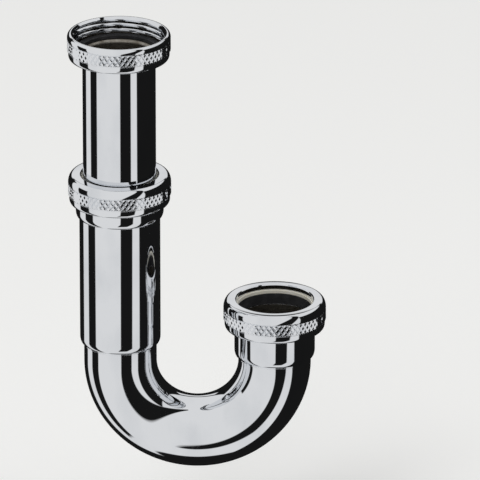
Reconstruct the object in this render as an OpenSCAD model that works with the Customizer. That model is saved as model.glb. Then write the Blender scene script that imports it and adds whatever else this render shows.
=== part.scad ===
// Tubular washbasin trap for a G 1 1/4 waste and a 32 mm outlet pipe, in chromed brass tube.
// Millimetres. The origin lies on the inlet axis, on the face of the inlet gasket.
// +Z points up the inlet leg and +X points from the inlet leg to the outlet leg.

/* [Tube and bend] */
// Outside diameter of the inlet tube and of the bend
tube_d = 32; // [30:0.5:33]
// Wall of the inlet tube and of the bend
tube_wall = 1.2; // [0.8:0.1:1.6]
// Length of the inlet tube below its flange
inlet_tube_l = 116; // [95:1:119]
// Radius of the bend, measured to the middle of the tube
bend_r = 34; // [30:0.5:45]
// Straight stretch of the bend that shows below the barrel
inlet_leg = 8; // [3:0.5:20]
// Straight stretch of the bend that shows below the outlet socket
outlet_leg = 1.5; // [1:0.5:15]

/* [Barrel and outlet socket] */
// Gap all round between the inlet tube and the barrel that it slides in
slide_gap = 0.55; // [0.3:0.05:0.7]
// Wall of the barrel and of the outlet socket
sleeve_wall = 1.2; // [1:0.1:1.4]
// Length of the barrel, with its neck
barrel_l = 70.5; // [60:0.5:100]
// Length of the outlet socket, with its neck
socket_l = 17.9; // [14:0.1:40]
// Height of the rounded shoulder that closes in to each neck
neck_round = 3; // [2:0.2:5]
// Length of the straight neck on the bend
neck_l = 0.6; // [0.4:0.1:3]
// Wall of the neck, polished thin where it meets the bend
neck_wall = 0.35; // [0.2:0.05:0.6]
// How far the bend stands up inside a neck
bend_inset = 7; // [6:0.5:9]

/* [Nuts] */
// Drop from the gasket's face to the top of the height nut
height_nut_drop = 58.5; // [50:0.5:75]
// Wall of a nut round its thread, out to the knurling
nut_wall = 2.2; // [2.1:0.1:4]
// How far the plain skirt lies inside the knurling
skirt_step = 0.5; // [0.2:0.05:0.55]
// Width of the rounding at the foot of the skirt
foot_round_w = 1; // [0.6:0.1:1.2]
// Height of the rounding at the foot of the skirt
foot_round_h = 1.6; // [1:0.1:2.2]
// Gap all round between a tube and the hole in a nut's lip
lip_gap = 1; // [0.4:0.1:1.2]
// Height of the inlet nut
inlet_nut_h = 11.3; // [10.8:0.1:14]
// Thickness of the inlet nut's lip, which hooks under the flange
inlet_lip = 1.6; // [1.2:0.1:2]
// Height of the plain band above the inlet nut's knurling
inlet_band_h = 2.4; // [2.1:0.1:3]
// Width of the flat rim round the inlet nut's mouth
inlet_rim_w = 0.5; // [0.3:0.1:0.8]
// Height of the rounding outside that rim
inlet_round_h = 1.8; // [1:0.1:2]
// Height of the height nut and of the outlet nut
slip_nut_h = 12.8; // [12.4:0.1:16]
// Thickness of the lip of the height nut and of the outlet nut
slip_lip = 2.4; // [2:0.1:2.8]
// Width of the rounded shoulder outside the flat top of those two nuts
shoulder_w = 2; // [1:0.1:3.4]
// Height of that shoulder
shoulder_h = 3.75; // [3:0.05:4.5]

/* [Knurling] */
// Height of the knurled band
knurl_h = 4.7; // [4:0.1:5.2]
// Number of grooves of each hand round a nut
knurl_n = 60; // [48:2:66]
// Depth of the knurling's grooves
knurl_depth = 0.5; // [0.3:0.05:0.55]
// Angle between the grooves and the nut's axis
knurl_angle = 35; // [25:1:40]
// Width of the run-out groove above and below the knurling
run_out_w = 0.5; // [0.4:0.1:0.7]

/* [Flange, gasket and seals] */
// Gap all round between a nut's bore and the flange, gasket, ring or seal in it
rim_gap = 1.2; // [0.9:0.1:1.5]
// Thickness of the inlet tube's flange
flange_t = 1; // [0.8:0.1:1.3]
// Radius of the rounding inside the flange
flange_round = 1.5; // [0.6:0.1:2]
// Thickness of the inlet gasket
gasket_t = 1.6; // [1.4:0.1:2.4]
// How far the gasket's hole stands back from the outside of the tube
gasket_back = 0.3; // [-0.6:0.1:1]
// Thickness of a slip ring
slip_ring_t = 1.6; // [1:0.1:2]
// Gap all round between a tube and a slip ring
slip_ring_gap = 0.25; // [0.15:0.05:0.4]
// Gap all round between a tube and the cone seal round it
seal_fit = 0.1; // [0.05:0.01:0.15]
// Width of a cone seal where its taper starts
seal_w = 2.55; // [2.2:0.05:3.2]
// Height of a cone seal's straight rim
seal_rim_h = 1.9; // [1.4:0.1:2.4]
// Height of a cone seal's taper
seal_cone_h = 3; // [2.4:0.1:3.6]
// Thickness of a cone seal's narrow end
seal_tip_t = 0.7; // [0.5:0.05:0.9]

/* [Threaded collars] */
// Gap all round between a collar's thread and a nut's, both drawn plain
thread_gap = 0.3; // [0.2:0.05:0.4]
// Depth of the undercut between the inlet nut's thread and its lip
undercut_depth = 0.6; // [0.5:0.1:1]
// How far the collars' thread stops short of a nut's foot
thread_hide = 0.7; // [0.4:0.1:1.2]
// Wall of a collar at its mouth, out to its thread
mouth_wall = 1.3; // [1:0.1:1.5]
// Gap all round between a cone seal and its seat
seat_gap = 0.15; // [0.1:0.01:0.25]
// Gap all round in the brazed joints
braze_gap = 0.05; // [0.02:0.01:0.1]
// Wall of the plain foot of the barrel's collar
collar_foot_wall = 1.5; // [1:0.1:2.1]
// How far that foot runs straight below the height nut
collar_foot_h = 3.8; // [2:0.2:8]
// Height of the rounding from that foot to the barrel
collar_round = 2.7; // [1.5:0.1:4]

/* [Hidden] */
$fn = 96;

chrome = "silver";
seal_rubber = "#2b2b2d";
slip_plastic = "ivory";

// Break on a turned edge
edge = 0.4;
// Steps along a rounded outline
bow_steps = 8;
// Length by which a cut clears a face
clear = 1;
// How much deeper the run-out grooves are than the knurling
run_out_extra = 0.1;

tube_r = tube_d / 2;
tube_bore_r = tube_r - tube_wall;
sleeve_bore_r = tube_r + slide_gap;
sleeve_r = sleeve_bore_r + sleeve_wall;
neck_bore_r = tube_r + braze_gap;
outlet_x = 2 * bend_r;

// Radii of a joint, from the tube outwards
slip_ring_hole_r = tube_r + slip_ring_gap;
seal_hole_r = tube_r + seal_fit;
seal_tip_r = seal_hole_r + seal_tip_t;
seal_r = seal_hole_r + seal_w;
mouth_r = seal_r + seat_gap;
thread_r = mouth_r + mouth_wall;
collar_bore_r = sleeve_r + braze_gap;
lip_hole_r = tube_r + lip_gap;
nut_bore_r = thread_r + thread_gap;
rim_r = nut_bore_r - rim_gap;
nut_r = nut_bore_r + nut_wall;
skirt_r = nut_r - skirt_step;

// Heights on the inlet leg
inlet_lip_top = -gasket_t - flange_t;
inlet_nut_z = inlet_lip_top - inlet_lip;
inlet_nut_top = inlet_nut_z + inlet_nut_h;
tube_end_z = -gasket_t - inlet_tube_l;

// Depths below the top of a slip nut, the same in both slip joints
ring_depth = slip_lip + slip_ring_t;
collar_depth = ring_depth + seal_rim_h;
sleeve_depth = collar_depth + seal_cone_h + seat_gap;
thread_end_depth = slip_nut_h - thread_hide;

// Heights of the trap's own parts
height_joint_z = -height_nut_drop;
barrel_foot_z = height_joint_z - sleeve_depth - barrel_l;
bend_z = barrel_foot_z - inlet_leg;
socket_foot_z = bend_z + outlet_leg;
outlet_joint_z = socket_foot_z + socket_l + sleeve_depth;

// Points along a quarter of an ellipse round the point c, between two angles.
function bow(c, width, height, from, to) =
    [for (i = [0:bow_steps])
        let (a = from + (to - from) * i / bow_steps)
        [c[0] + width * cos(a), c[1] + height * sin(a)]];

// Outside of a nut from the groove above its knurling down to its foot.
function nut_side(knurl_top, foot) =
    let (groove_r = nut_r - knurl_depth - run_out_extra,
         knurl_foot = knurl_top - knurl_h)
    concat(
        [[nut_r, knurl_top + run_out_w], [groove_r, knurl_top + run_out_w],
         [groove_r, knurl_top], [nut_r, knurl_top],
         [nut_r, knurl_foot], [groove_r, knurl_foot],
         [groove_r, knurl_foot - run_out_w], [skirt_r, knurl_foot - run_out_w]],
        bow([skirt_r - foot_round_w, foot + foot_round_h], foot_round_w, foot_round_h, 0, -90));

// Turns a half section, given as [radius, height] points, about the Z axis.
module turned(points) {
    rotate_extrude() polygon(points);
}

module at_height_joint() {
    translate([0, 0, height_joint_z]) children();
}

module at_outlet_joint() {
    translate([outlet_x, 0, outlet_joint_z]) children();
}

// Straight V grooves of one hand, tilted off the axis and spaced round a band.
module knurl_grooves(middle, hand) {
    reach = knurl_depth + clear;
    length = (knurl_h + run_out_w) / cos(knurl_angle);
    for (i = [0:knurl_n - 1])
        rotate([0, 0, i * 360 / knurl_n])
            translate([nut_r - knurl_depth, 0, middle])
                rotate([hand * knurl_angle, 0, 0])
                    linear_extrude(length, center = true)
                        polygon([[0, 0], [reach, -reach], [reach, reach]]);
}

// Crosses grooves of both hands over a nut, which leaves rows of flat diamonds.
module knurled(knurl_top) {
    middle = knurl_top - knurl_h / 2;
    difference() {
        children();
        knurl_grooves(middle, 1);
        knurl_grooves(middle, -1);
    }
}

// Nut of a slip joint, with its top at height 0 and its thread below.
module slip_nut() {
    top_r = nut_r - shoulder_w;
    knurl_top = -shoulder_h - run_out_w;
    color(chrome)
        knurled(knurl_top)
            turned(concat(
                [[lip_hole_r + edge, 0]],
                bow([top_r, -shoulder_h], shoulder_w, shoulder_h, 90, 0),
                nut_side(knurl_top, -slip_nut_h),
                [[nut_bore_r + edge, -slip_nut_h], [nut_bore_r, -slip_nut_h + edge],
                 [nut_bore_r, -slip_lip], [lip_hole_r, -slip_lip], [lip_hole_r, -edge]]));
}

// Flat ring that lets the nut turn without dragging the seal round.
module slip_ring() {
    color(slip_plastic)
        turned([[slip_ring_hole_r, -slip_lip], [rim_r, -slip_lip],
                [rim_r, -ring_depth], [slip_ring_hole_r, -ring_depth]]);
}

// Rubber ring with a rim that the nut presses down and a taper that grips the tube.
module cone_seal() {
    color(seal_rubber)
        turned([[seal_hole_r, -ring_depth], [rim_r, -ring_depth],
                [rim_r, -collar_depth], [seal_r, -collar_depth],
                [seal_tip_r, -collar_depth - seal_cone_h],
                [seal_hole_r, -collar_depth - seal_cone_h]]);
}

// Threaded collar with the seal's seat in its mouth. It stops on the sleeve's end,
// and its outside below the thread is the list of points in foot.
module collar(foot, foot_depth) {
    color(chrome)
        turned(concat(
            [[mouth_r, -collar_depth], [thread_r - edge, -collar_depth],
             [thread_r, -collar_depth - edge]],
            foot,
            [[collar_bore_r, -foot_depth], [collar_bore_r, -sleeve_depth],
             [seal_tip_r + seat_gap, -sleeve_depth]]));
}

// Tube that holds a sliding pipe above and closes in on the bend below.
// Its neck's foot is at height 0.
module sleeve(length) {
    neck_r = neck_bore_r + neck_wall;
    shoulder_z = neck_l + neck_round;
    step_z = bend_inset + edge;
    color(chrome)
        turned(concat(
            [[neck_bore_r, 0], [neck_r, 0]],
            bow([neck_r, shoulder_z], sleeve_r - neck_r, neck_round, -90, 0),
            [[sleeve_r, length - edge], [sleeve_r - edge, length], [sleeve_bore_r, length],
             [sleeve_bore_r, step_z + slide_gap], [neck_bore_r, step_z]]));
}

module inlet_tube() {
    top = -gasket_t;
    color(chrome)
        turned(concat(
            bow([tube_bore_r + flange_round, top - flange_round],
                flange_round, flange_round, 180, 90),
            [[rim_r, top], [rim_r, top - flange_t], [tube_r, top - flange_t],
             [tube_r, tube_end_z + edge], [tube_r - edge, tube_end_z], [tube_bore_r, tube_end_z]]));
}

module inlet_gasket() {
    color(seal_rubber)
        difference() {
            translate([0, 0, -gasket_t]) cylinder(h = gasket_t, r = rim_r);
            translate([0, 0, -gasket_t - clear])
                cylinder(h = gasket_t + 2 * clear, r = tube_r + gasket_back);
        }
}

// Union nut: its lip hooks under the flange and its mouth screws onto the waste.
// Its thread starts level with the gasket's face, above an undercut.
module inlet_nut() {
    flat_r = nut_bore_r + edge + inlet_rim_w;
    knurl_top = inlet_nut_top - inlet_band_h - run_out_w;
    undercut_r = nut_bore_r + undercut_depth;
    color(chrome)
        knurled(knurl_top)
            turned(concat(
                [[nut_bore_r + edge, inlet_nut_top]],
                bow([flat_r, inlet_nut_top - inlet_round_h], nut_r - flat_r, inlet_round_h, 90, 0),
                nut_side(knurl_top, inlet_nut_z),
                [[lip_hole_r + edge, inlet_nut_z], [lip_hole_r, inlet_nut_z + edge],
                 [lip_hole_r, inlet_lip_top], [undercut_r, inlet_lip_top],
                 [undercut_r, -edge], [nut_bore_r, 0],
                 [nut_bore_r, inlet_nut_top - edge]]));
}

module height_nut() {
    at_height_joint() slip_nut();
}

module height_slip_ring() {
    at_height_joint() slip_ring();
}

module height_cone_seal() {
    at_height_joint() cone_seal();
}

module barrel_collar() {
    foot_r = collar_bore_r + collar_foot_wall;
    end_r = collar_bore_r + neck_wall;
    straight = slip_nut_h + collar_foot_h;
    at_height_joint()
        collar(
            concat(
                [[thread_r, -thread_end_depth], [foot_r, -thread_end_depth]],
                bow([end_r, -straight], foot_r - end_r, collar_round, 0, -90)),
            straight + collar_round);
}

module barrel() {
    translate([0, 0, barrel_foot_z]) sleeve(barrel_l);
}

// Hollow bend with its two straight legs, which stand up inside the necks.
module trap_bend() {
    color(chrome) {
        translate([bend_r, 0, bend_z])
            rotate([-90, 0, 0])
                rotate_extrude(angle = 180)
                    translate([bend_r, 0])
                        difference() {
                            circle(tube_r);
                            circle(tube_bore_r);
                        }
        leg(0, inlet_leg + bend_inset);
        leg(outlet_x, outlet_leg + bend_inset);
    }
}

module leg(x, length) {
    translate([x, 0, bend_z])
        difference() {
            cylinder(h = length, r = tube_r);
            translate([0, 0, -clear]) cylinder(h = length + 2 * clear, r = tube_bore_r);
        }
}

module outlet_socket() {
    translate([outlet_x, 0, socket_foot_z]) sleeve(socket_l);
}

module outlet_collar() {
    at_outlet_joint()
        collar(
            [[thread_r, -thread_end_depth + edge], [thread_r - edge, -thread_end_depth]],
            thread_end_depth);
}

module outlet_cone_seal() {
    at_outlet_joint() cone_seal();
}

module outlet_slip_ring() {
    at_outlet_joint() slip_ring();
}

module outlet_nut() {
    at_outlet_joint() slip_nut();
}

inlet_tube();
inlet_gasket();
inlet_nut();
height_nut();
height_slip_ring();
height_cone_seal();
barrel_collar();
barrel();
trap_bend();
outlet_socket();
outlet_collar();
outlet_cone_seal();
outlet_slip_ring();
outlet_nut();
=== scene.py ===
"""A tubular washbasin trap in chrome-plated brass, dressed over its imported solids.

Sizes are in millimetres and meshes in metres. Every round piece is a half section
turned about its joint's axis, and the bend is a ring carried along its centre line.
"""

import logging
import math
from dataclasses import dataclass, field
from enum import Enum
from typing import Any, Sequence

import bpy
import numpy as np
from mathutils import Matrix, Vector


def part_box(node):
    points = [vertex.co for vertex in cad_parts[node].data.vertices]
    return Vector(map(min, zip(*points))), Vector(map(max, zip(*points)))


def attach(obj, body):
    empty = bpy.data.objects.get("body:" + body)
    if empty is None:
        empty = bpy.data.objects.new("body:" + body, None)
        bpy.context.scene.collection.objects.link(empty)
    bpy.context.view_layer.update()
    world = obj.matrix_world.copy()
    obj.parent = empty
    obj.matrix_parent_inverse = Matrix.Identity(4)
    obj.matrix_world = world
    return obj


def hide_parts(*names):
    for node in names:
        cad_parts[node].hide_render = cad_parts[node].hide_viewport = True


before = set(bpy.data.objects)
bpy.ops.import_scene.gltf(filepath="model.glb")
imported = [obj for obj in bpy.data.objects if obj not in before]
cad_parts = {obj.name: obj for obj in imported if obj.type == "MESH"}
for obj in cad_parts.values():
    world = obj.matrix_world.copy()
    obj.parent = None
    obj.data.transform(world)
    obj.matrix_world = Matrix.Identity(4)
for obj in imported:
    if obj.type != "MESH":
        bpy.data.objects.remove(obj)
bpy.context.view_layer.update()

logging.basicConfig(level=logging.INFO, format="%(message)s")
log = logging.getLogger("trap")

MM = 0.001


# Meshes


class Cut(Enum):
    """What is cut into a turned face, from one corner of its section to the next."""

    PLAIN = "left as turned"
    KNURL = "crossed V grooves"
    THREAD_IN = "thread inside a nut"
    THREAD_OUT = "thread outside a collar"


class Skin(Enum):
    """Which of a piece's two finishes a face has; the value is its material slot."""

    PLATED = 0
    BARE = 1


@dataclass(frozen=True)
class Corner:
    """A corner of a half section.

    Args:
        r: Distance from the axis.
        z: Height.
        fillet: Radius that rounds the corner, or 0 for a sharp one.
        cut: What is cut into the face from here to the next corner.
        skin: The finish of that face.
    """

    r: float
    z: float
    fillet: float = 0.0
    cut: Cut = Cut.PLAIN
    skin: Skin = Skin.PLATED


def bow(
    centre: tuple[float, float],
    width: float,
    height: float,
    start: float,
    stop: float,
    steps: int = 10,
    skin: Skin = Skin.PLATED,
) -> list[Corner]:
    """Corners along an ellipse: centre + (width cos a, height sin a), a from start to stop.

    Args:
        centre: Radius and height of the ellipse's centre.
        width: Half axis across.
        height: Half axis upwards.
        start: First angle in degrees.
        stop: Last angle in degrees.
        steps: Number of chords.
        skin: The finish of these faces.

    Returns:
        The corners, in order.
    """
    angles = np.radians(np.linspace(start, stop, steps + 1))
    return [
        Corner(float(r), float(z), skin=skin)
        for r, z in zip(centre[0] + width * np.cos(angles), centre[1] + height * np.sin(angles))
    ]


@dataclass(frozen=True)
class Thread:
    """Right-hand thread of the G 1 1/4 size, 11 turns to the inch.

    The radius at height z and angle a is mean + depth / 2 * wave(z / pitch - a / turn),
    where wave is a triangle rounded at its crest and root.
    """

    pitch: float = 25.4 / 11
    mean_r: float = 20.2155
    depth: float = 1.479
    clearance: float = 0.08
    sharpness: float = 0.93

    def radius(self, z: np.ndarray, angle: np.ndarray, inside: bool) -> np.ndarray:
        """Radius of the thread's surface.

        Args:
            z: Heights.
            angle: Angles round the axis, in radians.
            inside: Whether it is the nut's thread, which stands clear of the collar's.

        Returns:
            The radii, in the shape that z and angle give together.
        """
        phase = 2 * np.pi * z / self.pitch - angle
        wave = np.arcsin(self.sharpness * np.cos(phase)) / math.asin(self.sharpness)
        side = self.clearance / 2 if inside else -self.clearance / 2
        return self.mean_r + side + self.depth / 2 * wave

    @property
    def nut_crest_r(self) -> float:
        """Radius to the crests of the nut's thread."""
        return self.mean_r - self.depth / 2 + self.clearance / 2

    @property
    def collar_crest_r(self) -> float:
        """Radius to the crests of the collar's thread."""
        return self.mean_r + self.depth / 2 - self.clearance / 2


@dataclass(frozen=True)
class Knurl:
    """Diamond knurling: V grooves of both hands with walls at 45 degrees.

    Across a groove the depth is depth - |distance to its middle line|, never under 0,
    and where two grooves cross the deeper one counts.
    """

    outer_r: float = 22.6
    middle: float = 0.0
    count: int = 60
    depth: float = 0.4847
    angle: float = 35.0

    def radius(self, z: np.ndarray, angle: np.ndarray) -> np.ndarray:
        """Radius of the knurled surface.

        Args:
            z: Heights.
            angle: Angles round the axis, in radians.

        Returns:
            The radii, in the shape that z and angle give together.
        """
        lean = math.radians(self.angle)
        along = self.outer_r * angle * math.cos(lean)
        rise = (z - self.middle) * math.sin(lean)
        spacing = 2 * np.pi * self.outer_r / self.count * math.cos(lean)
        deepest = np.zeros(np.broadcast(z, angle).shape)
        for hand in (1, -1):
            off = np.abs((along + hand * rise + spacing / 2) % spacing - spacing / 2)
            deepest = np.maximum(deepest, self.depth - off)
        return self.outer_r - np.maximum(deepest, 0)


@dataclass
class Section:
    """Closed half section of a turned piece.

    Args:
        corners: The corners, in order round the section.
        axis_x: Where the axis stands along X.
        lift: Height added to every corner.
        columns: Number of steps round the axis.
        row_h: Height of a row where a thread is cut.
        knurl: The knurling, where a face has it.
        thread: The thread, where a face has it.
        fillet_steps: Chords in a rounded corner.
        hold: Length of the short row that keeps a flat face flat beside a fillet.
    """

    corners: Sequence[Corner]
    axis_x: float = 0.0
    lift: float = 0.0
    columns: int = 240
    row_h: float = 0.19
    knurl: Knurl = field(default_factory=Knurl)
    thread: Thread = field(default_factory=Thread)
    fillet_steps: int = 4
    hold: float = 0.04

    def _arc(self, before: Corner, at: Corner, after: Corner) -> np.ndarray:
        """Points of a rounded corner, with a holding point at each end.

        The arc is the slerp between the two directions from its centre to where it
        touches the faces.

        Args:
            before: The corner before.
            at: The corner to round.
            after: The corner after.

        Returns:
            Points as rows of radius and height.
        """
        p = np.array([at.r, at.z])
        a = np.array([before.r, before.z]) - p
        b = np.array([after.r, after.z]) - p
        room = min(np.linalg.norm(a), np.linalg.norm(b)) * 0.45
        a, b = a / np.linalg.norm(a), b / np.linalg.norm(b)
        half = math.acos(float(np.clip(a @ b, -1, 1))) / 2
        turn = math.pi - 2 * half
        if at.fillet <= 0 or turn < 0.02:
            return p[None, :]
        touch = min(at.fillet / math.tan(half), room)
        radius = touch * math.tan(half)
        centre = p + (a + b) / np.linalg.norm(a + b) * radius / math.sin(half)
        start, stop = (p + a * touch - centre) / radius, (p + b * touch - centre) / radius
        share = np.linspace(0, 1, self.fillet_steps + 1)[:, None]
        arc = (np.sin((1 - share) * turn) * start + np.sin(share * turn) * stop) / math.sin(turn)
        hold = min(self.hold, room * 0.5)
        return np.vstack([p + a * (touch + hold), centre + radius * arc, p + b * (touch + hold)])

    def rows(self) -> tuple[np.ndarray, np.ndarray, list[Cut]]:
        """Lays the section out as rows.

        Returns:
            Points as rows of radius and height, the material slot of the face after each
            row, and the cut in that face.
        """
        points, skins, cuts = [], [], []
        n = len(self.corners)
        for i, corner in enumerate(self.corners):
            after = self.corners[(i + 1) % n]
            arc = self._arc(self.corners[i - 1], corner, after)
            points.append(arc)
            skins += [self.corners[i - 1].skin.value] * (len(arc) - 1) + [corner.skin.value]
            cuts += [Cut.PLAIN] * (len(arc) - 1) + [corner.cut]
            if corner.cut is Cut.PLAIN:
                continue
            start, stop = arc[-1], np.array([after.r, after.z])
            length = float(np.linalg.norm(stop - start))
            if corner.cut is Cut.KNURL:
                step = 2 * np.pi * self.knurl.outer_r / self.columns
                step /= math.tan(math.radians(self.knurl.angle))
                count = int(length / 2 / step)
                heights = self.knurl.middle - np.arange(-count, count + 1) * step
                inner = np.column_stack([np.full(len(heights), start[0]), heights])
            else:
                share = np.linspace(0, 1, max(2, int(length / self.row_h)) + 1)[1:-1, None]
                inner = start + (stop - start) * share
            points.append(inner)
            skins += [corner.skin.value] * len(inner)
            cuts += [corner.cut] * len(inner)
        return np.vstack(points), np.array(skins), cuts

    def grid(self) -> tuple[np.ndarray, np.ndarray, np.ndarray]:
        """Turns the section about its axis: (x, y, z) = (axis + r cos a, r sin a, z).

        Returns:
            Points in metres on a grid of rows by columns, the slot of each row of faces,
            and whether a row of faces is knurled.
        """
        points, skins, cuts = self.rows()
        z = points[:, 1][:, None]
        angle = np.arange(self.columns)[None, :] * 2 * np.pi / self.columns
        r = np.repeat(points[:, :1], self.columns, axis=1)
        kinds = np.array([c.value for c in cuts])
        touched = {
            c: ((kinds == c.value) | (np.roll(kinds, 1) == c.value))[:, None] for c in Cut
        }
        r = np.where(touched[Cut.KNURL], np.minimum(r, self.knurl.radius(z, angle)), r)
        cut_in, cut_out = (self.thread.radius(z, angle, inside) for inside in (True, False))
        r = np.where(touched[Cut.THREAD_IN], np.maximum(r, cut_in), r)
        r = np.where(touched[Cut.THREAD_OUT], np.minimum(r, cut_out), r)
        grid = np.stack(
            [self.axis_x + r * np.cos(angle), r * np.sin(angle), z + self.lift + 0 * r], axis=-1
        )
        return grid * MM, skins, kinds == Cut.KNURL.value


@dataclass
class Pipe:
    """Hollow pipe along a flat path.

    The outer wall runs from the first end to the last and the inner wall runs back, so
    the grid closes on itself: point = path + radius (cos a across + sin a sideways).

    Args:
        path: Centre line as rows of x and z.
        outer_r: Radius of the outer wall.
        inner_r: Radius of the inner wall.
        columns: Number of steps round the pipe.
        break_r: Size of the broken edge at each end.
    """

    path: np.ndarray
    outer_r: float
    inner_r: float
    columns: int = 160
    break_r: float = 0.15

    def grid(self) -> tuple[np.ndarray, np.ndarray, np.ndarray]:
        """Carries the ring along the path.

        Returns:
            Points in metres on a grid of rows by columns, the slot of each row of faces,
            and an array of False, since nothing is knurled.
        """
        n = len(self.path)
        order = np.concatenate([np.arange(n), np.arange(n)[::-1]])
        radius = np.concatenate([np.full(n, self.outer_r), np.full(n, self.inner_r)])
        radius[[0, n - 1]] -= self.break_r
        along = np.gradient(self.path, axis=0)
        along /= np.linalg.norm(along, axis=1)[:, None]
        centre, along = self.path[order], along[order]
        across = np.stack([-along[:, 1], along[:, 0]], axis=1)
        angle = np.arange(self.columns)[None, :] * 2 * np.pi / self.columns
        reach = radius[:, None]
        grid = np.stack(
            [
                centre[:, :1] + reach * np.cos(angle) * across[:, :1],
                reach * np.sin(angle),
                centre[:, 1:] + reach * np.cos(angle) * across[:, 1:],
            ],
            axis=-1,
        )
        slots = np.where(np.arange(2 * n) < n - 1, Skin.PLATED.value, Skin.BARE.value)
        return grid * MM, slots, np.zeros(2 * n, bool)


def closed_mesh(
    name: str,
    grid: np.ndarray,
    slots: np.ndarray,
    knurled: np.ndarray,
    materials: Sequence[bpy.types.Material],
) -> bpy.types.Object:
    """Makes an object of a grid that closes on itself both ways.

    Faces join each row to the next and each column to the next. Knurled rows are made of
    triangles whose long side follows the grooves, and the rest of quads.

    Args:
        name: The object's name.
        grid: Points in metres, rows by columns by 3.
        slots: The material slot of each row of faces.
        knurled: Whether each row of faces is knurled.
        materials: The materials, in slot order.

    Returns:
        The object, at the origin.
    """
    rows, columns, _ = grid.shape
    i, j = np.meshgrid(np.arange(rows), np.arange(columns), indexing="ij")
    i2, j2 = (i + 1) % rows, (j + 1) % columns
    a, b, c, d = i * columns + j, i2 * columns + j, i2 * columns + j2, i * columns + j2
    centre = grid.reshape(-1, 3).mean(0)
    p, q = grid - centre, np.roll(grid, -1, axis=0) - centre
    r = np.roll(q, -1, axis=1)
    if float((p * np.cross(q, r)).sum()) < 0:
        b, d = d, b
    first = int(np.argmax(knurled))
    lean = (i - first + j) % 2 == 0
    plain = ~knurled[i]
    tris = np.concatenate(
        [
            np.stack([a, b, c], -1)[~plain & lean],
            np.stack([a, c, d], -1)[~plain & lean],
            np.stack([a, b, d], -1)[~plain & ~lean],
            np.stack([b, c, d], -1)[~plain & ~lean],
        ]
    )
    tri_slots = np.concatenate([slots[i][~plain & lean]] * 2 + [slots[i][~plain & ~lean]] * 2)
    quads = np.stack([a, b, c, d], -1)[plain]
    mesh = bpy.data.meshes.new(name)
    mesh.from_pydata(grid.reshape(-1, 3), [], quads.tolist() + tris.tolist())
    mesh.polygons.foreach_set("material_index", np.concatenate([slots[i][plain], tri_slots]))
    mesh.polygons.foreach_set("use_smooth", np.ones(len(quads) + len(tris), bool))
    mesh.set_sharp_from_angle(angle=math.radians(33))
    mesh.update()
    for material in materials:
        mesh.materials.append(material)
    piece = bpy.data.objects.new(name, mesh)
    bpy.context.scene.collection.objects.link(piece)
    return piece


def seat(piece: bpy.types.Object, body: str, node: str) -> bpy.types.Object:
    """Puts a piece on its body in place of its solid.

    Args:
        piece: The piece.
        body: The body that it moves with.
        node: The solid that it stands for.

    Returns:
        The same piece.
    """
    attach(piece, body)
    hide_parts(node)
    triangles = sum(len(p.vertices) - 2 for p in piece.data.polygons)
    log.info("%s on %s: %d triangles", piece.name, body, triangles)
    return piece


# Finishes


def linear(colour: str) -> tuple[float, float, float, float]:
    """Turns an sRGB hex colour to linear light.

    Args:
        colour: Such as "#a0b0c0".

    Returns:
        Red, green, blue and an alpha of 1.
    """
    values = [int(colour[k : k + 2], 16) / 255 for k in (1, 3, 5)]
    light = [v / 12.92 if v <= 0.04045 else ((v + 0.055) / 1.055) ** 2.4 for v in values]
    return light[0], light[1], light[2], 1.0


def add_node(
    tree: bpy.types.NodeTree, kind: str, inputs: dict[Any, Any] | None = None, **settings: Any
) -> bpy.types.Node:
    """Adds a node with its settings, values and links.

    Args:
        tree: The node tree.
        kind: The node's type name.
        inputs: A value or an output socket for each input, by its name or number.
        settings: The node's own settings.

    Returns:
        The node.
    """
    node = tree.nodes.new(kind)
    for key, value in settings.items():
        setattr(node, key, value)
    for key, value in (inputs or {}).items():
        if isinstance(value, bpy.types.NodeSocket):
            tree.links.new(value, node.inputs[key])
        else:
            node.inputs[key].default_value = value
    return node


def new_material(name: str) -> tuple[bpy.types.Material, bpy.types.NodeTree, bpy.types.Node]:
    """Starts a material.

    Args:
        name: The finish's name.

    Returns:
        The material, its emptied node tree, and a Principled shader joined to the output.
    """
    material = bpy.data.materials.new(name)
    material.use_nodes = True
    tree = material.node_tree
    tree.nodes.clear()
    shader = add_node(tree, "ShaderNodeBsdfPrincipled")
    add_node(tree, "ShaderNodeOutputMaterial", {"Surface": shader.outputs["BSDF"]})
    return material, tree, shader


def noise(
    tree: bpy.types.NodeTree,
    size_mm: float,
    detail: float = 2.0,
    stretch: tuple[float, float, float] = (1.0, 1.0, 1.0),
) -> bpy.types.NodeSocket:
    """Noise on object coordinates with features of a real size.

    Args:
        tree: The node tree.
        size_mm: Width of a feature.
        detail: Octaves.
        stretch: How many times finer it is along each axis.

    Returns:
        The noise's value socket, from 0 to 1.
    """
    place = add_node(tree, "ShaderNodeTexCoord").outputs["Object"]
    scaled = add_node(
        tree, "ShaderNodeMapping", {"Vector": place, "Scale": stretch}, vector_type="POINT"
    )
    texture = add_node(
        tree,
        "ShaderNodeTexNoise",
        {"Vector": scaled.outputs[0], "Scale": 1 / (size_mm * MM), "Detail": detail},
    )
    return texture.outputs["Fac"]


def patches(
    tree: bpy.types.NodeTree,
    size_mm: float,
    detail: float,
    limits: tuple[float, float],
    stretch: tuple[float, float, float] = (1.0, 1.0, 1.0),
) -> bpy.types.NodeSocket:
    """Soft-edged patches: noise that is spread from 0 at one limit to 1 at the other.

    Args:
        tree: The node tree.
        size_mm: Width of a patch.
        detail: Octaves of the noise.
        limits: Where in the noise a patch begins and where it is full.
        stretch: How many times finer it is along each axis.

    Returns:
        The patches' socket, from 0 to 1.
    """
    spread = {0: noise(tree, size_mm, detail, stretch), 1: limits[0], 2: limits[1]}
    return add_node(tree, "ShaderNodeMapRange", spread).outputs[0]


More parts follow.
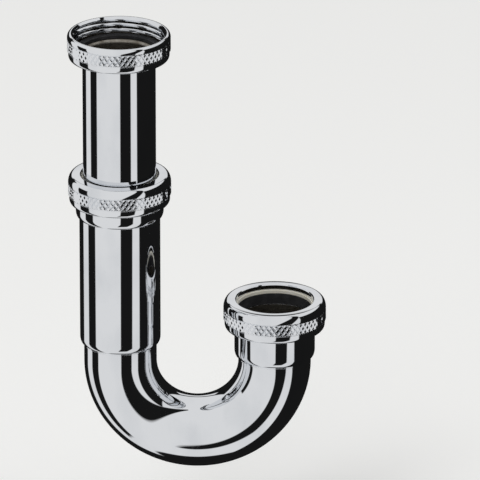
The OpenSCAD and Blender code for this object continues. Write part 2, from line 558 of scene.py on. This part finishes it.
def mottle(
    tree: bpy.types.NodeTree,
    shader: bpy.types.Node,
    share: bpy.types.NodeSocket,
    colours: tuple[str, str],
    roughness: tuple[float, float],
) -> None:
    """Gives a shader two colours and two roughnesses that one pattern shares out.

    Args:
        tree: The node tree.
        shader: The Principled shader.
        share: How much of the second colour and roughness shows.
        colours: The two hex colours.
        roughness: The two roughnesses.
    """
    pair = {"Factor": share, "A": linear(colours[0]), "B": linear(colours[1])}
    colour = add_node(tree, "ShaderNodeMix", pair, data_type="RGBA").outputs["Result"]
    rough = add_node(tree, "ShaderNodeMapRange", {0: share, 3: roughness[0], 4: roughness[1]})
    tree.links.new(colour, shader.inputs["Base Color"])
    tree.links.new(rough.outputs[0], shader.inputs["Roughness"])


@dataclass(frozen=True)
class PolishedChrome:
    """Bright nickel and chrome plate on mopped brass.

    It gives the eye hard-edged reflections, with a faint haze where it was wiped.
    """

    name: str = "polished_chrome_plate"
    colour: str = "#e9ebee"
    haze_colour: str = "#dcdfe3"
    roughness: float = 0.02
    haze_roughness: float = 0.07
    wipe_mm: float = 14.0
    ripple_mm: float = 7.0
    ripple_depth_mm: float = 0.0016

    def material(self) -> bpy.types.Material:
        """Builds the material.

        Returns:
            The material.
        """
        material, tree, shader = new_material(self.name)
        wipe = patches(tree, self.wipe_mm, 4.0, (0.45, 0.75), (1.0, 1.0, 0.45))
        colours = self.colour, self.haze_colour
        mottle(tree, shader, wipe, colours, (self.roughness, self.haze_roughness))
        shader.inputs["Metallic"].default_value = 1.0
        ripple = add_node(
            tree,
            "ShaderNodeBump",
            {
                "Height": noise(tree, self.ripple_mm, 1.0),
                "Distance": self.ripple_depth_mm * MM,
                "Strength": 1.0,
            },
        )
        tree.links.new(ripple.outputs[0], shader.inputs["Normal"])
        return material


@dataclass(frozen=True)
class DullPlate:
    """Thin, unpolished plate over turned or drawn brass, inside threads and bores.

    It gives the eye a grey, blurred metal that stays darker than the polished outside.
    """

    name: str = "dull_plated_brass"
    colour: str = "#a8a49c"
    stain_colour: str = "#6b6459"
    roughness: float = 0.34
    stain_roughness: float = 0.54
    stain_mm: float = 5.0
    tool_line_mm: float = 0.35

    def material(self) -> bpy.types.Material:
        """Builds the material.

        Returns:
            The material.
        """
        material, tree, shader = new_material(self.name)
        stain = patches(tree, self.stain_mm, 5.0, (0.35, 0.7))
        colours = self.colour, self.stain_colour
        mottle(tree, shader, stain, colours, (self.roughness, self.stain_roughness))
        shader.inputs["Metallic"].default_value = 1.0
        lines = noise(tree, 6.0, 2.0, (0.3, 0.3, 6.0 / self.tool_line_mm))
        bump = add_node(
            tree, "ShaderNodeBump", {"Height": lines, "Distance": 0.02 * MM, "Strength": 0.6}
        )
        tree.links.new(bump.outputs[0], shader.inputs["Normal"])
        return material


@dataclass(frozen=True)
class SealRubber:
    """Black moulded rubber.

    It gives the eye a matt charcoal with a fine grain and a faint grey bloom.
    """

    name: str = "black_moulded_rubber"
    colour: str = "#1d1d1f"
    bloom_colour: str = "#39393b"
    roughness: float = 0.72
    bloom_roughness: float = 0.87
    bloom_mm: float = 4.0
    grain_mm: float = 0.25

    def material(self) -> bpy.types.Material:
        """Builds the material.

        Returns:
            The material.
        """
        material, tree, shader = new_material(self.name)
        bloom = patches(tree, self.bloom_mm, 5.0, (0.45, 0.8))
        colours = self.colour, self.bloom_colour
        mottle(tree, shader, bloom, colours, (self.roughness, self.bloom_roughness))
        shader.inputs["IOR"].default_value = 1.52
        grain = add_node(
            tree,
            "ShaderNodeBump",
            {"Height": noise(tree, self.grain_mm, 2.0), "Distance": 0.03 * MM, "Strength": 0.7},
        )
        tree.links.new(grain.outputs[0], shader.inputs["Normal"])
        return material


@dataclass(frozen=True)
class SlipPolyethylene:
    """Natural white polyethylene, turned from tube.

    It gives the eye a waxy off-white with fine turning lines.
    """

    name: str = "turned_white_polyethylene"
    colour: str = "#ece9df"
    shade_colour: str = "#dedacb"
    roughness: float = 0.42
    shade_roughness: float = 0.54
    shade_mm: float = 6.0
    line_mm: float = 0.3

    def material(self) -> bpy.types.Material:
        """Builds the material.

        Returns:
            The material.
        """
        material, tree, shader = new_material(self.name)
        shade = patches(tree, self.shade_mm, 3.0, (0.35, 0.7))
        colours = self.colour, self.shade_colour
        mottle(tree, shader, shade, colours, (self.roughness, self.shade_roughness))
        shader.inputs["IOR"].default_value = 1.51
        shader.inputs["Subsurface Weight"].default_value = 0.12
        shader.inputs["Subsurface Radius"].default_value = (1.0, 0.9, 0.7)
        shader.inputs["Subsurface Scale"].default_value = 0.8 * MM
        lines = noise(tree, 4.0, 2.0, (0.3, 0.3, 4.0 / self.line_mm))
        bump = add_node(
            tree, "ShaderNodeBump", {"Height": lines, "Distance": 0.02 * MM, "Strength": 0.5}
        )
        tree.links.new(bump.outputs[0], shader.inputs["Normal"])
        return material


@dataclass
class Finishes:
    """The four finishes of the trap, each made once."""

    chrome: bpy.types.Material = field(default_factory=lambda: PolishedChrome().material())
    dull: bpy.types.Material = field(default_factory=lambda: DullPlate().material())
    rubber: bpy.types.Material = field(default_factory=lambda: SealRubber().material())
    plastic: bpy.types.Material = field(default_factory=lambda: SlipPolyethylene().material())

    @property
    def metal(self) -> tuple[bpy.types.Material, bpy.types.Material]:
        """The finishes of a plated piece, outside and inside."""
        return self.chrome, self.dull


# Sub-assemblies


def top_of(node: str) -> float:
    """Height of a solid's top, in millimetres."""
    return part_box(node)[1].z / MM


def foot_of(node: str) -> float:
    """Height of a solid's foot, in millimetres."""
    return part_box(node)[0].z / MM


def axis_of(node: str) -> float:
    """Place along X of a round solid's axis, in millimetres."""
    low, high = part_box(node)
    return (low.x + high.x) / 2 / MM


@dataclass
class NutSide:
    """The outside that all three nuts share, from above the knurling to the foot.

    Args:
        outer_r: Radius over the knurling.
        groove_depth: Depth of the run-out grooves.
        run_out_w: Their width.
        knurl_h: Height of the knurled band.
        skirt_r: Radius of the skirt below it.
        foot_w: Width of the rounding at the foot.
        foot_h: Height of that rounding.
    """

    outer_r: float = 22.6
    groove_depth: float = 0.6
    run_out_w: float = 0.5
    knurl_h: float = 4.7
    skirt_r: float = 22.1
    foot_w: float = 1.0
    foot_h: float = 1.6

    def corners(self, knurl_top: float, foot: float) -> list[Corner]:
        """Corners down the outside.

        Args:
            knurl_top: Height of the knurling's upper edge.
            foot: Height of the nut's foot.

        Returns:
            The corners, from the upper run-out groove to the foot.
        """
        groove_r = self.outer_r - self.groove_depth
        knurl_foot = knurl_top - self.knurl_h
        return [
            Corner(self.outer_r, knurl_top + self.run_out_w, 0.08),
            Corner(groove_r, knurl_top + self.run_out_w),
            Corner(groove_r, knurl_top),
            Corner(self.outer_r, knurl_top, cut=Cut.KNURL),
            Corner(self.outer_r, knurl_foot),
            Corner(groove_r, knurl_foot),
            Corner(groove_r, knurl_foot - self.run_out_w),
            Corner(self.skirt_r, knurl_foot - self.run_out_w, 0.06),
            *bow((self.skirt_r - self.foot_w, foot + self.foot_h), self.foot_w, self.foot_h, 0, -90),
        ]


@dataclass
class Inlet:
    """The inlet nut, its gasket and the inlet tube that hangs from its flange."""

    side: NutSide = field(default_factory=NutSide)
    thread: Thread = field(default_factory=Thread)
    rim_r: float = 21.3
    mouth_r: float = 20.95
    round_h: float = 1.8
    band_h: float = 2.4
    lip: float = 1.6
    lip_hole_r: float = 17.0
    undercut_r: float = 21.0
    edge: float = 0.4
    gasket_hole_r: float = 16.3
    gasket_r: float = 19.2
    tube_r: float = 16.0
    bore_r: float = 14.8
    flange_t: float = 1.0
    flange_round: float = 1.5

    def nut(self, finishes: Finishes) -> bpy.types.Object:
        """Builds the open union nut, with thread turns in its mouth.

        Args:
            finishes: The finishes.

        Returns:
            The piece.
        """
        top, foot = top_of("inlet_nut"), foot_of("inlet_nut")
        knurl_top = top - self.band_h - self.side.run_out_w
        lip_top = foot + self.lip
        crest = self.thread.nut_crest_r
        lead = self.mouth_r - crest
        corners = [
            Corner(self.mouth_r, top, 0.05),
            *bow(
                (self.rim_r, top - self.round_h), self.side.outer_r - self.rim_r, self.round_h, 90, 0
            ),
            *self.side.corners(knurl_top, foot),
            Corner(self.lip_hole_r + self.edge, foot, 0.1),
            Corner(self.lip_hole_r, foot + self.edge, 0.1),
            Corner(self.lip_hole_r, lip_top, skin=Skin.BARE),
            Corner(self.undercut_r, lip_top, skin=Skin.BARE),
            Corner(self.undercut_r, -self.edge, cut=Cut.THREAD_IN),
            Corner(crest, self.undercut_r - crest - self.edge, cut=Cut.THREAD_IN),
            Corner(crest, top - lead, cut=Cut.THREAD_IN),
        ]
        knurl = Knurl(outer_r=self.side.outer_r, middle=knurl_top - self.side.knurl_h / 2)
        section = Section(corners, columns=720, knurl=knurl, thread=self.thread)
        piece = closed_mesh("inlet_nut_knurled", *section.grid(), finishes.metal)
        return seat(piece, "inlet_nut", "inlet_nut")

    def gasket(self, finishes: Finishes) -> bpy.types.Object:
        """Builds the flat rubber gasket on the flange.

        Args:
            finishes: The finishes.

        Returns:
            The piece.
        """
        top, foot = top_of("inlet_gasket"), foot_of("inlet_gasket")
        corners = [
            Corner(self.gasket_hole_r, top, 0.25),
            Corner(self.gasket_r, top, 0.25),
            Corner(self.gasket_r, foot, 0.25),
            Corner(self.gasket_hole_r, foot, 0.25),
        ]
        piece = closed_mesh("inlet_gasket_moulded", *Section(corners).grid(), [finishes.rubber])
        return seat(piece, "inlet", "inlet_gasket")

    def tube(self, finishes: Finishes) -> bpy.types.Object:
        """Builds the tube with its spun flange.

        Args:
            finishes: The finishes.

        Returns:
            The piece.
        """
        top, foot = top_of("inlet_tube"), foot_of("inlet_tube")
        round_r = self.flange_round
        corners = [
            *bow(
                (self.bore_r + round_r, top - round_r), round_r, round_r, 180, 90, 8, Skin.BARE
            ),
            Corner(self.gasket_r, top, 0.2),
            Corner(self.gasket_r, top - self.flange_t, 0.2),
            Corner(self.tube_r, top - self.flange_t, 0.3),
            Corner(self.tube_r, foot, 0.4),
            Corner(self.bore_r, foot, 0.1, skin=Skin.BARE),
        ]
        piece = closed_mesh("inlet_tube_polished", *Section(corners).grid(), finishes.metal)
        return seat(piece, "inlet", "inlet_tube")

    def build(self, finishes: Finishes) -> None:
        """Builds the three pieces.

        Args:
            finishes: The finishes.
        """
        self.nut(finishes)
        self.gasket(finishes)
        self.tube(finishes)


@dataclass
class SlipJoint:
    """A knurled nut, its slip ring, its cone seal and the threaded collar under them.

    Heights are measured from the nut's top at rest, downwards.

    Args:
        place: "height" or "outlet", the start of its nodes' names.
        collar_node: The node of its collar.
        seal_body: The body that its seal moves with.
        foot_h: Straight length of the collar's foot below the nut, or 0 for none.
    """

    place: str
    collar_node: str
    seal_body: str
    foot_h: float = 0.0
    side: NutSide = field(default_factory=NutSide)
    thread: Thread = field(default_factory=Thread)
    lip: float = 2.4
    lip_hole_r: float = 17.0
    shoulder_w: float = 2.0
    shoulder_h: float = 3.75
    cavity_r: float = 20.4
    mouth_r: float = 20.95
    edge: float = 0.4
    ring_t: float = 1.6
    ring_hole_r: float = 16.25
    rim_r: float = 19.2
    seal_hole_r: float = 16.1
    seal_r: float = 18.65
    seal_tip_r: float = 16.8
    seal_rim_h: float = 1.9
    seal_cone_h: float = 3.0
    seat_gap: float = 0.15
    collar_bore_r: float = 17.8
    collar_foot_r: float = 19.3
    collar_end_r: float = 18.15
    collar_round: float = 2.7
    thread_end: float = 12.1

    def __post_init__(self) -> None:
        """Reads the joint's place from its nut's solid."""
        node = f"{self.place}_nut"
        self.axis_x = axis_of(node)
        self.top = top_of(node)
        self.height = top_of(node) - foot_of(node)

    def nut(self, finishes: Finishes) -> bpy.types.Object:
        """Builds the nut with its rounded shoulder.

        Args:
            finishes: The finishes.

        Returns:
            The piece.
        """
        flat_r = self.side.outer_r - self.shoulder_w
        knurl_top = -self.shoulder_h - self.side.run_out_w
        crest = self.thread.nut_crest_r
        lead = self.mouth_r - crest
        cavity_foot = -self.lip - self.ring_t - self.seal_rim_h + self.edge
        corners = [
            Corner(self.lip_hole_r + self.edge, 0, 0.15),
            *bow((flat_r, -self.shoulder_h), self.shoulder_w, self.shoulder_h, 90, 0, 14)[:-1],
            *self.side.corners(knurl_top, -self.height),
            Corner(self.mouth_r, -self.height, cut=Cut.THREAD_IN, skin=Skin.BARE),
            Corner(crest, -self.height + lead, cut=Cut.THREAD_IN, skin=Skin.BARE),
            Corner(crest, cavity_foot, skin=Skin.BARE),
            Corner(self.cavity_r, cavity_foot + self.cavity_r - crest, skin=Skin.BARE),
            Corner(self.cavity_r, -self.lip, skin=Skin.BARE),
            Corner(self.lip_hole_r, -self.lip, 0.1),
            Corner(self.lip_hole_r, -self.edge, 0.15),
        ]
        knurl = Knurl(outer_r=self.side.outer_r, middle=knurl_top - self.side.knurl_h / 2)
        section = Section(
            corners, self.axis_x, self.top, columns=720, row_h=0.26, knurl=knurl, thread=self.thread
        )
        body = f"{self.place}_nut"
        piece = closed_mesh(f"{self.place}_nut_knurled", *section.grid(), finishes.metal)
        return seat(piece, body, body)

    def ring(self, finishes: Finishes) -> bpy.types.Object:
        """Builds the slip ring.

        Args:
            finishes: The finishes.

        Returns:
            The piece.
        """
        foot = -self.lip - self.ring_t
        corners = [
            Corner(self.ring_hole_r, -self.lip, 0.2),
            Corner(self.rim_r, -self.lip, 0.2),
            Corner(self.rim_r, foot, 0.2),
            Corner(self.ring_hole_r, foot, 0.2),
        ]
        body = f"{self.place}_slip_ring"
        grid = Section(corners, self.axis_x, self.top).grid()
        piece = closed_mesh(f"{self.place}_slip_ring_turned", *grid, [finishes.plastic])
        return seat(piece, body, body)

    def seal(self, finishes: Finishes) -> bpy.types.Object:
        """Builds the cone seal.

        Args:
            finishes: The finishes.

        Returns:
            The piece.
        """
        top = -self.lip - self.ring_t
        shelf = top - self.seal_rim_h
        corners = [
            Corner(self.seal_hole_r, top, 0.2),
            Corner(self.rim_r, top, 0.2),
            Corner(self.rim_r, shelf, 0.2),
            Corner(self.seal_r, shelf),
            Corner(self.seal_tip_r, shelf - self.seal_cone_h, 0.15),
            Corner(self.seal_hole_r, shelf - self.seal_cone_h, 0.15),
        ]
        grid = Section(corners, self.axis_x, self.top).grid()
        piece = closed_mesh(f"{self.place}_cone_seal_moulded", *grid, [finishes.rubber])
        return seat(piece, self.seal_body, f"{self.place}_cone_seal")

    def collar(self, finishes: Finishes) -> bpy.types.Object:
        """Builds the collar with its thread and conical seat.

        Args:
            finishes: The finishes.

        Returns:
            The piece.
        """
        mouth = -self.lip - self.ring_t - self.seal_rim_h
        stop = mouth - self.seal_cone_h - self.seat_gap
        crest = self.thread.collar_crest_r
        lead = crest - self.collar_foot_r
        end = -self.thread_end
        straight = -self.height - self.foot_h
        if self.foot_h:
            foot = [
                Corner(self.collar_foot_r, end, 0.1),
                *bow(
                    (self.collar_end_r, straight),
                    self.collar_foot_r - self.collar_end_r,
                    self.collar_round,
                    0,
                    -90,
                ),
            ]
            foot_z = straight - self.collar_round
        else:
            foot = [Corner(self.collar_foot_r, end, 0.1)]
            foot_z = end
        corners = [
            Corner(self.seal_r + self.seat_gap, mouth, 0.1),
            Corner(self.collar_foot_r, mouth, cut=Cut.THREAD_OUT),
            Corner(crest, mouth - lead, cut=Cut.THREAD_OUT),
            Corner(crest, end + lead, cut=Cut.THREAD_OUT),
            *foot,
            Corner(self.collar_bore_r, foot_z, 0.05, skin=Skin.BARE),
            Corner(self.collar_bore_r, stop, skin=Skin.BARE),
            Corner(self.seal_tip_r + self.seat_gap, stop, skin=Skin.BARE),
        ]
        section = Section(
            corners, self.axis_x, self.top, columns=480, row_h=0.2, thread=self.thread
        )
        piece = closed_mesh(f"{self.collar_node}_threaded", *section.grid(), finishes.metal)
        return seat(piece, "trap", self.collar_node)

    def build(self, finishes: Finishes) -> None:
        """Builds the four pieces.

        Args:
            finishes: The finishes.
        """
        self.nut(finishes)
        self.ring(finishes)
        self.seal(finishes)
        self.collar(finishes)


@dataclass
class Sleeve:
    """The barrel or the outlet socket: a wide tube that closes in on the bend."""

    node: str
    neck_bore_r: float = 16.05
    neck_r: float = 16.4
    neck_l: float = 0.6
    neck_round: float = 3.0
    sleeve_r: float = 17.75
    bore_r: float = 16.55
    step_z: float = 7.4
    step_h: float = 0.55

    def build(self, finishes: Finishes) -> bpy.types.Object:
        """Builds the sleeve.

        Args:
            finishes: The finishes.

        Returns:
            The piece.
        """
        length = top_of(self.node) - foot_of(self.node)
        shoulder = self.neck_l + self.neck_round
        corners = [
            Corner(self.neck_bore_r, 0),
            Corner(self.neck_r, 0, 0.12),
            *bow(
                (self.neck_r, shoulder), self.sleeve_r - self.neck_r, self.neck_round, -90, 0
            ),
            Corner(self.sleeve_r, length, 0.35),
            Corner(self.bore_r, length, 0.1, skin=Skin.BARE),
            Corner(self.bore_r, self.step_z + self.step_h, skin=Skin.BARE),
            Corner(self.neck_bore_r, self.step_z, skin=Skin.BARE),
        ]
        section = Section(corners, axis_of(self.node), foot_of(self.node))
        piece = closed_mesh(f"{self.node}_polished", *section.grid(), finishes.metal)
        return seat(piece, "trap", self.node)


@dataclass
class Bend:
    """The hollow U-bend with its two straight legs."""

    tube_r: float = 16.0
    bore_r: float = 14.8
    bend_r: float = 34.0
    inlet_leg: float = 15.0
    outlet_leg: float = 8.5
    arc_steps: int = 130
    end_row: float = 0.15
    join_row: float = 0.3

    def path(self) -> np.ndarray:
        """Centre line: down the inlet leg, round half a circle and up the outlet leg.

        Returns:
            Points as rows of x and z.
        """
        low = foot_of("trap_bend") + self.tube_r + self.bend_r
        angle = np.linspace(np.pi, 2 * np.pi, self.arc_steps + 1)
        arc = np.column_stack(
            [self.bend_r + self.bend_r * np.cos(angle), low + self.bend_r * np.sin(angle)]
        )
        near = np.array([self.join_row, 2 * self.join_row])
        down = np.array([self.inlet_leg, self.inlet_leg - self.end_row, *near[::-1]])
        up = np.array([*near, self.outlet_leg - self.end_row, self.outlet_leg])
        first = np.column_stack([np.zeros(4), low + down])
        last = np.column_stack([np.full(4, 2 * self.bend_r), low + up])
        return np.vstack([first, arc, last])

    def build(self, finishes: Finishes) -> bpy.types.Object:
        """Builds the bend.

        Args:
            finishes: The finishes.

        Returns:
            The piece.
        """
        grid = Pipe(self.path(), self.tube_r, self.bore_r).grid()
        piece = closed_mesh("trap_bend_polished", *grid, finishes.metal)
        return seat(piece, "trap", "trap_bend")


# Studio


@dataclass(frozen=True)
class Card:
    """A dark card far outside the set, which polished metal shows as a black streak.

    Azimuth 0 is the camera's side and 90 is the right. Angles are in degrees.

    Args:
        middle: Azimuth of its middle at the eye line of the tubes.
        half: Half its width in azimuth.
        low: Elevation of its lower edge.
        high: Elevation of its upper edge.
        lean: Degrees of azimuth that it gains with each degree of elevation.
        taper: Degrees of half width that it loses with each degree away from the eye line.
    """

    middle: float
    half: float
    low: float
    high: float
    lean: float = 0.0
    taper: float = 0.0


@dataclass
class Studio:
    """Pale floor, soft lamps, a white surround with dark cards, and the camera.

    The floor lies below the bend with the trap slid all the way down.
    """

    floor_z: float = -0.236
    eye_line: float = -21.55
    soft: float = 1.0
    white: float = 1.0
    dark: float = 0.012
    ambient: float = 0.62
    floor_lift: float = 0.22
    cards: tuple[Card, ...] = (
        Card(-88.0, 13.6, -62.0, 11.0),
        Card(20.0, 17.0, -44.0, 74.0, 0.55, 0.12),
        Card(145.5, 87.5, -95.0, 30.0),
        Card(0.0, 400.0, -95.0, -74.0),
    )
    window: Card = Card(180.0, 25.0, 17.5, 25.5)

    def patch(
        self,
        tree: bpy.types.NodeTree,
        card: Card,
        azimuth: bpy.types.NodeSocket,
        elevation: bpy.types.NodeSocket,
    ) -> bpy.types.NodeSocket:
        """Works out where a card stands: the product of three soft edges.

        Args:
            tree: The world's node tree.
            card: The card.
            azimuth: The direction's azimuth.
            elevation: The direction's elevation.

        Returns:
            A socket that is 1 inside the card and 0 outside.
        """
        kind = "ShaderNodeMath"
        rise = add_node(tree, kind, {0: elevation, 1: self.eye_line}, operation="SUBTRACT")
        rise = rise.outputs[0]
        middle = add_node(
            tree, kind, {0: rise, 1: card.lean, 2: card.middle}, operation="MULTIPLY_ADD"
        )
        off = add_node(tree, kind, {0: azimuth, 1: middle.outputs[0]}, operation="SUBTRACT")
        off = add_node(tree, kind, {0: off.outputs[0], 1: 180.0, 2: -180.0}, operation="WRAP")
        off = add_node(tree, kind, {0: off.outputs[0]}, operation="ABSOLUTE")
        away = add_node(tree, kind, {0: rise}, operation="ABSOLUTE").outputs[0]
        half = add_node(
            tree, kind, {0: away, 1: -card.taper, 2: card.half}, operation="MULTIPLY_ADD"
        )
        inside = add_node(
            tree, kind, {0: half.outputs[0], 1: off.outputs[0]}, operation="SUBTRACT"
        )
        soft = self.soft
        spreads = [
            {0: inside.outputs[0], 1: -soft, 2: soft},
            {0: elevation, 1: card.low - soft, 2: card.low + soft},
            {0: elevation, 1: card.high + soft, 2: card.high - soft},
        ]
        edges = [add_node(tree, "ShaderNodeMapRange", s).outputs[0] for s in spreads]
        both = add_node(tree, kind, {0: edges[0], 1: edges[1]}, operation="MULTIPLY")
        all_three = {0: both.outputs[0], 1: edges[2]}
        return add_node(tree, kind, all_three, operation="MULTIPLY").outputs[0]

    def surround(self) -> None:
        """Sets the world: white to the camera, striped by the cards in polished metal."""
        world = bpy.data.worlds.new("studio")
        bpy.context.scene.world = world
        world.use_nodes = True
        tree = world.node_tree
        tree.nodes.clear()
        kind = "ShaderNodeMath"
        way = add_node(tree, "ShaderNodeTexCoord").outputs["Generated"]
        axes = add_node(tree, "ShaderNodeSeparateXYZ", {0: way}).outputs
        front = add_node(tree, kind, {0: axes[1], 1: -1.0}, operation="MULTIPLY")
        azimuth = add_node(tree, kind, {0: axes[0], 1: front.outputs[0]}, operation="ARCTAN2")
        azimuth = add_node(tree, kind, {0: azimuth.outputs[0]}, operation="DEGREES").outputs[0]
        elevation = add_node(tree, kind, {0: axes[2]}, operation="ARCSINE")
        elevation = add_node(tree, kind, {0: elevation.outputs[0]}, operation="DEGREES")
        elevation = elevation.outputs[0]
        shade = None
        for card in self.cards:
            patch = self.patch(tree, card, azimuth, elevation)
            if shade is not None:
                pair = {0: shade, 1: patch}
                patch = add_node(tree, kind, pair, operation="MAXIMUM").outputs[0]
            shade = patch
        lit = self.patch(tree, self.window, azimuth, elevation)
        shade = add_node(tree, kind, {0: shade, 1: lit}, operation="SUBTRACT", use_clamp=True)
        levels = {0: shade.outputs[0], 3: self.white, 4: self.dark}
        striped = add_node(tree, "ShaderNodeMapRange", levels).outputs[0]
        ray = add_node(tree, "ShaderNodeLightPath").outputs
        choice = {"Factor": ray["Is Glossy Ray"], "A": self.ambient, "B": striped}
        level = add_node(tree, "ShaderNodeMix", choice, data_type="FLOAT").outputs[0]
        seen = add_node(
            tree, kind, {0: level, 1: ray["Is Camera Ray"]}, operation="MAXIMUM"
        )
        back = add_node(tree, "ShaderNodeBackground", {"Strength": seen.outputs[0]})
        add_node(tree, "ShaderNodeOutputWorld", {"Surface": back.outputs[0]})

    def floor(self) -> bpy.types.Object:
        """Lays the pale floor, which keeps the trap's shadow.

        Returns:
            The floor.
        """
        material, tree, shader = new_material("pale_paper_floor")
        shader.inputs["Base Color"].default_value = linear("#f0f0ee")
        shader.inputs["Roughness"].default_value = 0.9
        shader.inputs["Specular IOR Level"].default_value = 0.0
        ray = add_node(tree, "ShaderNodeLightPath").outputs["Is Camera Ray"]
        shader.inputs["Emission Color"].default_value = linear("#ffffff")
        lift = add_node(tree, "ShaderNodeMapRange", {0: ray, 3: 0.0, 4: self.floor_lift})
        tree.links.new(lift.outputs[0], shader.inputs["Emission Strength"])
        x, y = np.meshgrid(np.linspace(-4, 4, 3), np.linspace(-4, 4, 3))
        points = np.stack([x, y, np.full(x.shape, self.floor_z)], -1).reshape(-1, 3)
        cell = np.arange(4) + np.arange(4) // 2
        faces = np.stack([cell, cell + 1, cell + 4, cell + 3], -1)
        mesh = bpy.data.meshes.new("floor")
        mesh.from_pydata(points, [], faces.tolist())
        mesh.materials.append(material)
        floor = bpy.data.objects.new("floor", mesh)
        bpy.context.scene.collection.objects.link(floor)
        floor.visible_glossy = False
        return floor

    def lamp(
        self, name: str, place: tuple[float, float, float], size: float, power: float
    ) -> bpy.types.Object:
        """Hangs a square soft box that faces the trap.

        Args:
            name: Its name.
            place: Where it hangs, in metres.
            size: Its side, in metres.
            power: Its power in watts.

        Returns:
            The lamp.
        """
        data = bpy.data.lights.new(name, "AREA")
        data.size = size
        data.energy = power
        lamp = bpy.data.objects.new(name, data)
        lamp.location = place
        aim = Vector((0.034, 0, -0.1)) - Vector(place)
        lamp.rotation_euler = aim.to_track_quat("-Z", "Y").to_euler()
        lamp.visible_glossy = False
        lamp.visible_camera = False
        bpy.context.scene.collection.objects.link(lamp)
        return lamp

    def camera(self) -> bpy.types.Object:
        """Sets the camera: square to the bend, 21.55 degrees down, through a long lens.

        Returns:
            The camera.
        """
        data = bpy.data.cameras.new("view")
        data.sensor_width = 36.0
        data.lens = 683.25
        data.clip_start, data.clip_end = 0.1, 60.0
        camera = bpy.data.objects.new("view", data)
        target = Vector((0.05273, 0.0, -0.08981))
        down = math.radians(21.55)
        camera.location = target + 4.0 * Vector((0.0, -math.cos(down), math.sin(down)))
        camera.rotation_euler = (math.pi / 2 - down, 0.0, 0.0)
        bpy.context.scene.collection.objects.link(camera)
        bpy.context.scene.camera = camera
        return camera

    def build(self) -> None:
        """Sets the whole studio."""
        bpy.context.scene.view_settings.view_transform = "Standard"
        self.surround()
        self.floor()
        self.lamp("key", (-1.2, -1.5, 2.2), 1.6, 26.0)
        self.lamp("fill", (1.8, -1.0, 1.4), 1.6, 8.0)
        self.camera()
        log.info("studio set")


def main() -> None:
    """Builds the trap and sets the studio."""
    studio = Studio()
    studio.build()
    finishes = Finishes()
    Inlet().build(finishes)
    SlipJoint("height", "barrel_collar", "height_seal", foot_h=3.8).build(finishes)
    Sleeve("barrel").build(finishes)
    Bend().build(finishes)
    Sleeve("outlet_socket").build(finishes)
    SlipJoint("outlet", "outlet_collar", "trap").build(finishes)


if __name__ == "__main__":
    main()
